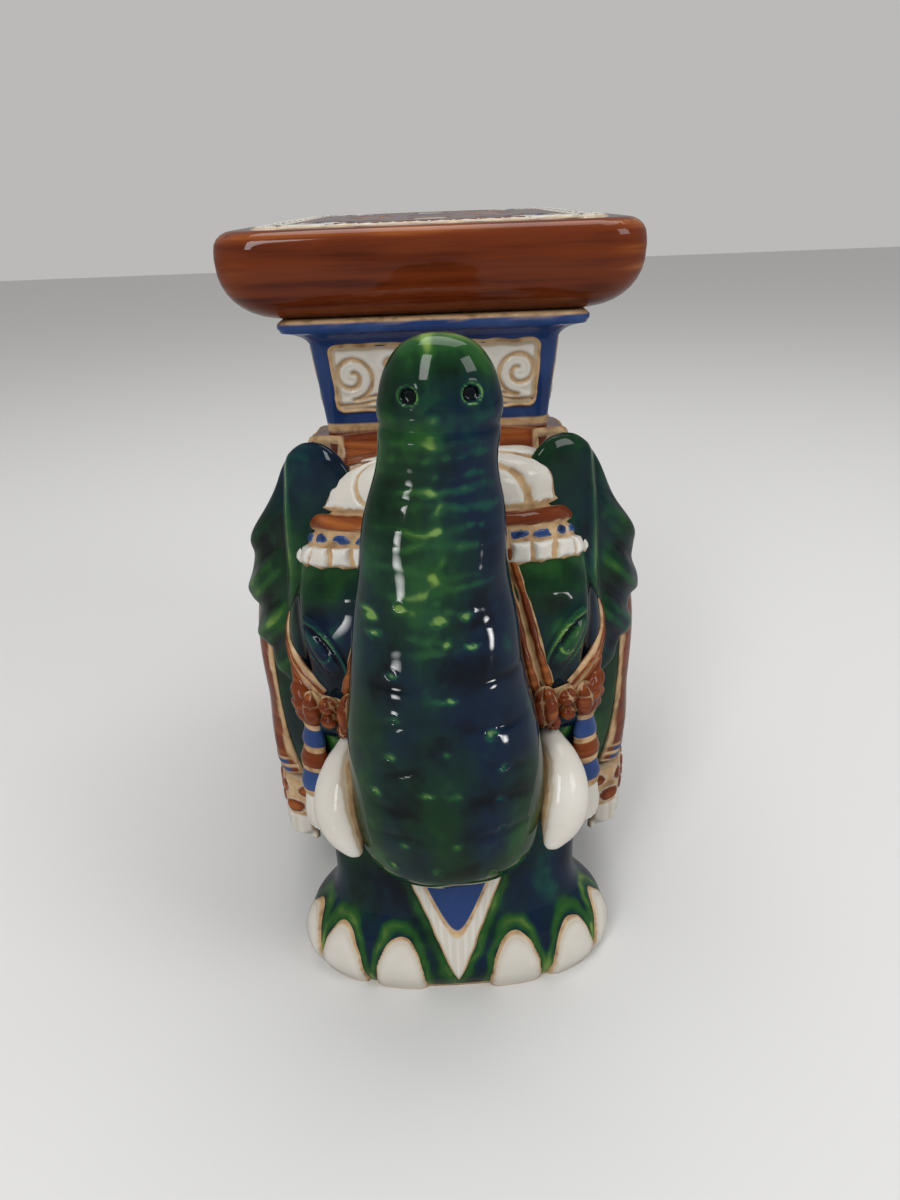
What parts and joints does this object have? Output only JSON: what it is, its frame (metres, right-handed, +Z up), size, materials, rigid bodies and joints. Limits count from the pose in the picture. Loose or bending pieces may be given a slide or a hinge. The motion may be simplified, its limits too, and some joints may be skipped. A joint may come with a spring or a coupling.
{
  "type": "elephant stool",
  "caption": "Glazed ceramic garden stool: an elephant with a raised trunk carries a flared block and a rectangular cushion-shaped seat on its back.",
  "frame": {"origin": "on the floor, under the middle of the whole stool's length and width", "axes": "+X to the elephant's left side, -Y the way it faces, +Z up"},
  "size_m": [0.239, 0.4392, 0.42],
  "materials": {
    "green_glaze": "glossy, mottled green and blue, paler on ridges",
    "brown_glaze": "glossy rust brown with brushed streaks",
    "blue_glaze": "glossy cobalt blue",
    "white_glaze": "glossy warm white with bare clay lines"
  },
  "bodies": {
    "root": {"left_torso_half": "green_glaze", "right_torso_half": "green_glaze", "head": "green_glaze", "left_front_leg": "green_glaze", "right_front_leg": "green_glaze", "left_rear_leg": "green_glaze", "right_rear_leg": "green_glaze", "trunk": "green_glaze", "left_ear": "green_glaze", "right_ear": "green_glaze", "tail": "green_glaze", "left_tusk": "white_glaze", "right_tusk": "white_glaze", "left_front_toenails": "white_glaze", "right_front_toenails": "white_glaze", "left_rear_toenails": "white_glaze", "right_rear_toenails": "white_glaze", "chest_bib_border": "white_glaze", "chest_bib_field": "blue_glaze", "headdress": "white_glaze", "headdress_band": "brown_glaze", "left_bridle": "brown_glaze", "right_bridle": "brown_glaze", "saddle_cloth": "brown_glaze", "left_hem_fringe": "white_glaze", "right_hem_fringe": "white_glaze", "left_shoulder_tassel": "brown_glaze", "right_shoulder_tassel": "brown_glaze", "saddle_block": "blue_glaze", "block_panels": "white_glaze", "seat_slab": "brown_glaze", "seat_inlay": "white_glaze"}
  },
  "joints": []
}
